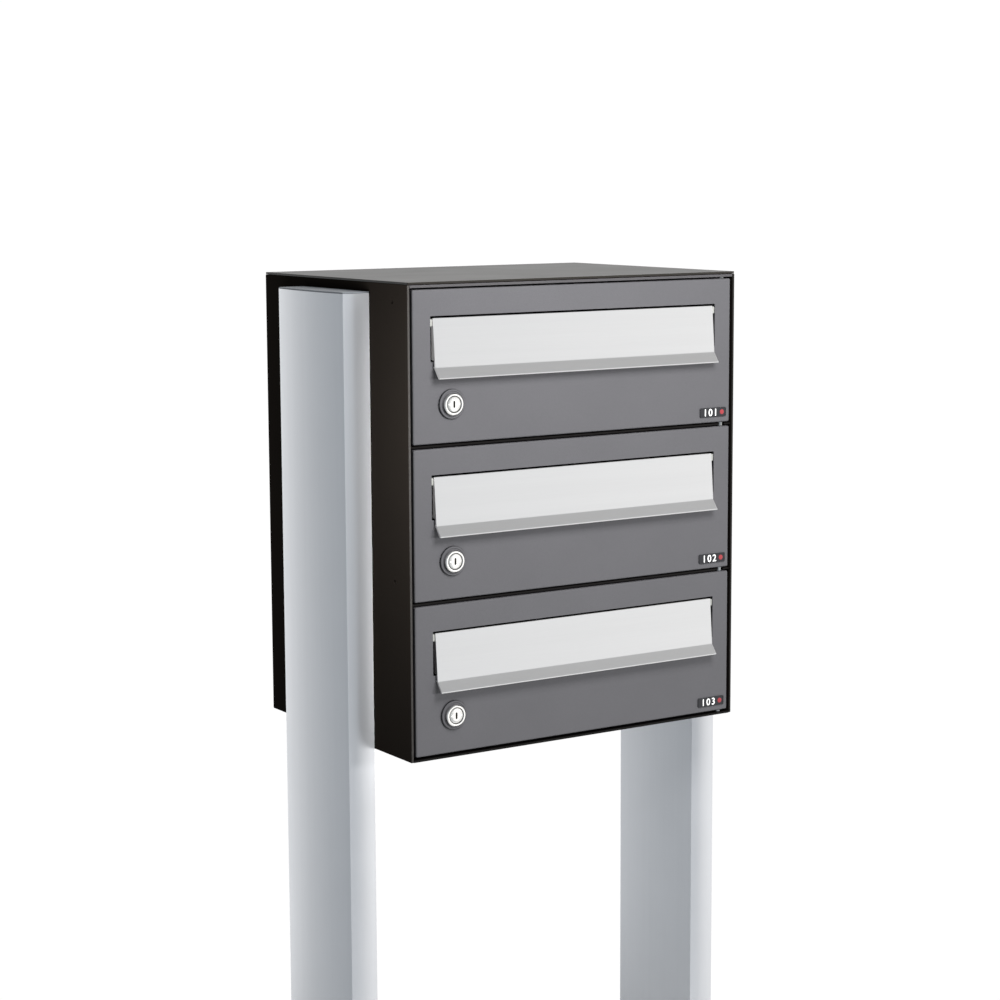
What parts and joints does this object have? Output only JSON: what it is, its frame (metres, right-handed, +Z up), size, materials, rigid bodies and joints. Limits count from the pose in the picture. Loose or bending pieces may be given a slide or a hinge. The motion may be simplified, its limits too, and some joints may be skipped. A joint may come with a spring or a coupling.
{
  "type": "cluster mailbox unit",
  "caption": "Free-standing letterbox unit: stacked compartments with locking front doors and letter flaps, carried between tall posts on base plates.",
  "frame": {"origin": "on the ground, midway across the unit and midway from the flap lips to the back of the casing", "axes": "+Z up along the posts, +X to the right as the doors are faced, the doors face -Y"},
  "size_m": [0.5176, 0.296, 1.3],
  "materials": {
    "casing": "satin powder coat",
    "door": "fine-grained metallic powder coat",
    "flap": "satin anodised",
    "post": "satin anodised",
    "post_cap": "matt",
    "foot": "galvanised",
    "nickel": "polished nickel plate",
    "steel": "zinc plated",
    "liner": "moulded black",
    "number_plate": "engraved"
  },
  "bodies": {
    "casing": {"side_panel_left": "casing", "side_panel_right": "casing", "roof_panel": "casing", "floor_panel": "casing", "back_panel": "casing", "shelf_lower": "casing", "shelf_upper": "casing", "header_strip": "door", "pivot_pin_bottom": "steel", "pivot_pin_lower": "steel", "pivot_pin_upper": "steel", "pivot_pin_top": "steel", "strike_bottom": "steel", "strike_middle": "steel", "strike_top": "steel", "post_left": "post", "post_left_cap": "post_cap", "post_left_foot": "foot", "post_left_bolt_lower": "steel", "post_left_bolt_upper": "steel", "post_right": "post", "post_right_cap": "post_cap", "post_right_foot": "foot", "post_right_bolt_lower": "steel", "post_right_bolt_upper": "steel"},
    "door_bottom": {"door_bottom_panel": "door", "door_bottom_slot_frame": "liner", "door_bottom_flap_rod": "steel", "door_bottom_lock_collar": "door", "door_bottom_lock_body": "nickel", "door_bottom_lock_nut": "steel", "door_bottom_number_plate": "number_plate"},
    "flap_bottom": {"flap_bottom": "flap"},
    "lock_bottom": {"lock_bottom_plug": "nickel", "lock_bottom_cam": "steel", "lock_bottom_cam_screw": "steel"},
    "door_middle": {"door_middle_panel": "door", "door_middle_slot_frame": "liner", "door_middle_flap_rod": "steel", "door_middle_lock_collar": "door", "door_middle_lock_body": "nickel", "door_middle_lock_nut": "steel", "door_middle_number_plate": "number_plate"},
    "flap_middle": {"flap_middle": "flap"},
    "lock_middle": {"lock_middle_plug": "nickel", "lock_middle_cam": "steel", "lock_middle_cam_screw": "steel"},
    "door_top": {"door_top_panel": "door", "door_top_slot_frame": "liner", "door_top_flap_rod": "steel", "door_top_lock_collar": "door", "door_top_lock_body": "nickel", "door_top_lock_nut": "steel", "door_top_number_plate": "number_plate"},
    "flap_top": {"flap_top": "flap"},
    "lock_top": {"lock_top_plug": "nickel", "lock_top_cam": "steel", "lock_top_cam_screw": "steel"}
  },
  "joints": [
    {"name": "door_bottom_hinge", "type": "hinge", "parent": "casing", "child": "door_bottom", "pos_m": [0.179, -0.132, 0.92025], "axis": [0, 0, 1], "range_deg": [0, 110]},
    {"name": "flap_bottom_hinge", "type": "hinge", "parent": "door_bottom", "child": "flap_bottom", "pos_m": [0, -0.1315, 0.9615], "axis": [-1, 0, 0], "range_deg": [0, 75]},
    {"name": "lock_bottom_turn", "type": "hinge", "parent": "door_bottom", "child": "lock_bottom", "pos_m": [-0.1455, -0.137, 0.8845], "axis": [0, 1, 0], "range_deg": [0, 90]},
    {"name": "door_middle_hinge", "type": "hinge", "parent": "casing", "child": "door_middle", "pos_m": [0.179, -0.132, 1.07025], "axis": [0, 0, 1], "range_deg": [0, 110]},
    {"name": "flap_middle_hinge", "type": "hinge", "parent": "door_middle", "child": "flap_middle", "pos_m": [0, -0.1315, 1.1115], "axis": [-1, 0, 0], "range_deg": [0, 75]},
    {"name": "lock_middle_turn", "type": "hinge", "parent": "door_middle", "child": "lock_middle", "pos_m": [-0.1455, -0.137, 1.0345], "axis": [0, 1, 0], "range_deg": [0, 90]},
    {"name": "door_top_hinge", "type": "hinge", "parent": "casing", "child": "door_top", "pos_m": [0.179, -0.132, 1.22025], "axis": [0, 0, 1], "range_deg": [0, 110]},
    {"name": "flap_top_hinge", "type": "hinge", "parent": "door_top", "child": "flap_top", "pos_m": [0, -0.1315, 1.2615], "axis": [-1, 0, 0], "range_deg": [0, 75]},
    {"name": "lock_top_turn", "type": "hinge", "parent": "door_top", "child": "lock_top", "pos_m": [-0.1455, -0.137, 1.1845], "axis": [0, 1, 0], "range_deg": [0, 90]}
  ]
}
